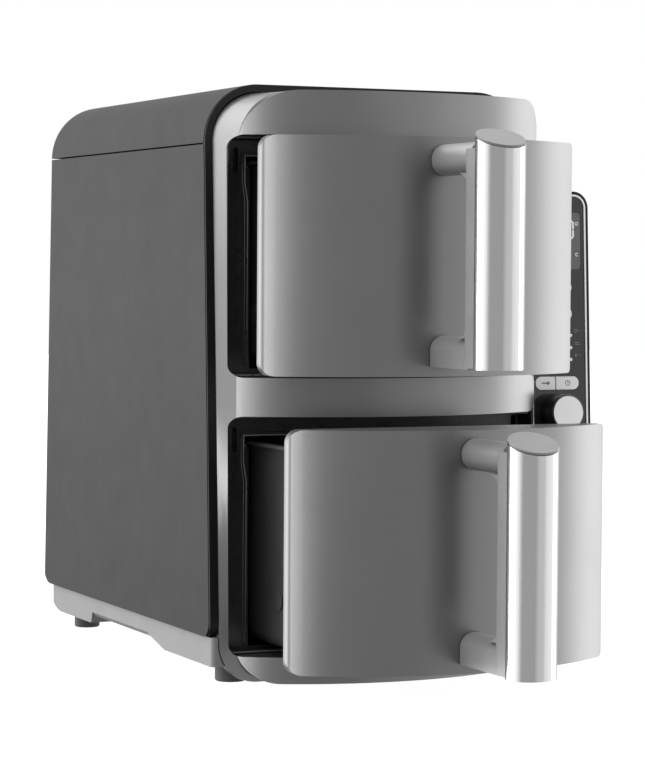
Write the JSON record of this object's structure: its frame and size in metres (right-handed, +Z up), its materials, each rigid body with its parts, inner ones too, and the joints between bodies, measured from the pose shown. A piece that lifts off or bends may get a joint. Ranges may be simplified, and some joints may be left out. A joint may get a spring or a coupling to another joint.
{
  "type": "air fryer",
  "caption": "Upright air fryer with stacked bowed drawers, upright polished handles, pans with crisper plates, and a side control column with dial and buttons.",
  "frame": {"origin": "centre of the footprint of the whole fryer as it stands at rest with both drawers part open, on the surface it stands on", "axes": "+Z up, front and drawers towards -Y, +X to the right as seen from the front; both drawers part open at rest"},
  "size_m": [0.282, 0.5412, 0.381],
  "materials": {
    "cabinet_grey": "satin dark grey",
    "band_black": "matte black",
    "front_silver": "satin metallic silver",
    "base_silver": "satin light silver",
    "frame_black": "satin black",
    "inner_grey": "satin dark grey",
    "foot_rubber": "moulded rubber",
    "liner_sheet": "dark enamelled sheet",
    "bare_steel": "plain steel",
    "coil_steel": "oxidised tube",
    "fan_aluminium": "pressed sheet",
    "pan_coating": "dark non-stick coating",
    "handle_grey": "satin grey",
    "handle_chrome": "polished",
    "cap_grey": "matte light grey",
    "trim_silver": "satin bright ring",
    "glass_dark": "gloss dark panel",
    "display_grey": "smoked window",
    "lamp_white": "clear lamp",
    "button_white": "matte white",
    "dial_black": "satin black",
    "dial_bright": "brushed pale cap",
    "silicone": "silicone",
    "board_green": "circuit board"
  },
  "bodies": {
    "cabinet": {"top_cover": "cabinet_grey", "outer_wrap": "cabinet_grey", "rear_vent_panel": "inner_grey", "cabinet_screws": "bare_steel", "seam_band": "band_black", "front_fascia": "front_silver", "front_frame": "frame_black", "base_tray": "base_silver", "rubber_feet": "foot_rubber", "heat_shield": "bare_steel", "thermistors": "bare_steel", "drawer_sensors": "inner_grey", "pod_housing": "cabinet_grey", "pod_bezel": "band_black", "trim_ring": "trim_silver", "control_glass": "glass_dark", "display_window": "display_grey", "indicator_lamps": "lamp_white", "dial_encoder": "bare_steel", "control_board": "board_green", "power_board": "board_green", "cord_inlet": "foot_rubber", "upper_liner": "liner_sheet", "upper_rails": "bare_steel", "upper_fan_guard": "liner_sheet", "upper_heater": "coil_steel", "upper_fan_motor": "bare_steel", "lower_liner": "liner_sheet", "lower_rails": "bare_steel", "lower_fan_guard": "liner_sheet", "lower_heater": "coil_steel", "lower_fan_motor": "bare_steel"},
    "upper_drawer": {"upper_drawer_front": "front_silver", "upper_drawer_back": "inner_grey", "upper_handle_bracket": "handle_grey", "upper_handle_sleeve": "handle_chrome", "upper_handle_cap": "cap_grey", "upper_handle_screws": "bare_steel", "upper_pan": "pan_coating"},
    "lower_drawer": {"lower_drawer_front": "front_silver", "lower_drawer_back": "inner_grey", "lower_handle_bracket": "handle_grey", "lower_handle_sleeve": "handle_chrome", "lower_handle_cap": "cap_grey", "lower_handle_screws": "bare_steel", "lower_pan": "pan_coating"},
    "upper_plate": {"upper_crisper_plate": "pan_coating", "upper_plate_feet": "silicone"},
    "lower_plate": {"lower_crisper_plate": "pan_coating", "lower_plate_feet": "silicone"},
    "upper_fan": {"upper_fan": "fan_aluminium"},
    "lower_fan": {"lower_fan": "fan_aluminium"},
    "dial": {"dial_knob": "dial_black", "dial_cap": "dial_bright"},
    "zone_one_button": {"zone_one_button": "button_white"},
    "zone_two_button": {"zone_two_button": "button_white"},
    "power_button": {"power_button": "button_white"},
    "start_button": {"start_button": "button_white"},
    "temp_button": {"temp_button": "button_white"},
    "time_button": {"time_button": "button_white"}
  },
  "joints": [
    {"name": "upper_drawer_slide", "type": "slide", "parent": "cabinet", "child": "upper_drawer", "axis": [0, -1, 0], "range_m": [-0.048, 0.142]},
    {"name": "lower_drawer_slide", "type": "slide", "parent": "cabinet", "child": "lower_drawer", "axis": [0, -1, 0], "range_m": [-0.0915, 0.0985]},
    {"name": "upper_plate_lift", "type": "slide", "parent": "upper_drawer", "child": "upper_plate", "axis": [0, 0, 1], "range_m": [0, 0.1]},
    {"name": "upper_fan_spin", "type": "hinge", "parent": "cabinet", "child": "upper_fan", "pos_m": [-0.01335, 0.1911, 0.2712], "axis": [0, 1, 0], "continuous": true},
    {"name": "lower_plate_lift", "type": "slide", "parent": "lower_drawer", "child": "lower_plate", "axis": [0, 0, 1], "range_m": [0, 0.1]},
    {"name": "lower_fan_spin", "type": "hinge", "parent": "cabinet", "child": "lower_fan", "pos_m": [-0.01335, 0.1911, 0.093], "axis": [0, 1, 0], "continuous": true},
    {"name": "dial_turn", "type": "hinge", "parent": "cabinet", "child": "dial", "pos_m": [0.1141, -0.04606, 0.1686], "axis": [0, -0.9988, 0.0487], "continuous": true},
    {"name": "zone_one_button_press", "type": "slide", "parent": "cabinet", "child": "zone_one_button", "axis": [0, 0.9988, -0.0487], "range_m": [0, 0.0008], "stiffness_N_per_m": 900},
    {"name": "zone_two_button_press", "type": "slide", "parent": "cabinet", "child": "zone_two_button", "axis": [0, 0.9988, -0.0487], "range_m": [0, 0.0008], "stiffness_N_per_m": 900},
    {"name": "power_button_press", "type": "slide", "parent": "cabinet", "child": "power_button", "axis": [0, 0.9988, -0.0487], "range_m": [0, 0.0008], "stiffness_N_per_m": 900},
    {"name": "start_button_press", "type": "slide", "parent": "cabinet", "child": "start_button", "axis": [0, 0.9988, -0.0487], "range_m": [0, 0.0008], "stiffness_N_per_m": 900},
    {"name": "temp_button_press", "type": "slide", "parent": "cabinet", "child": "temp_button", "axis": [0, 0.9988, -0.0487], "range_m": [0, 0.0008], "stiffness_N_per_m": 900},
    {"name": "time_button_press", "type": "slide", "parent": "cabinet", "child": "time_button", "axis": [0, 0.9988, -0.0487], "range_m": [0, 0.0008], "stiffness_N_per_m": 900}
  ]
}
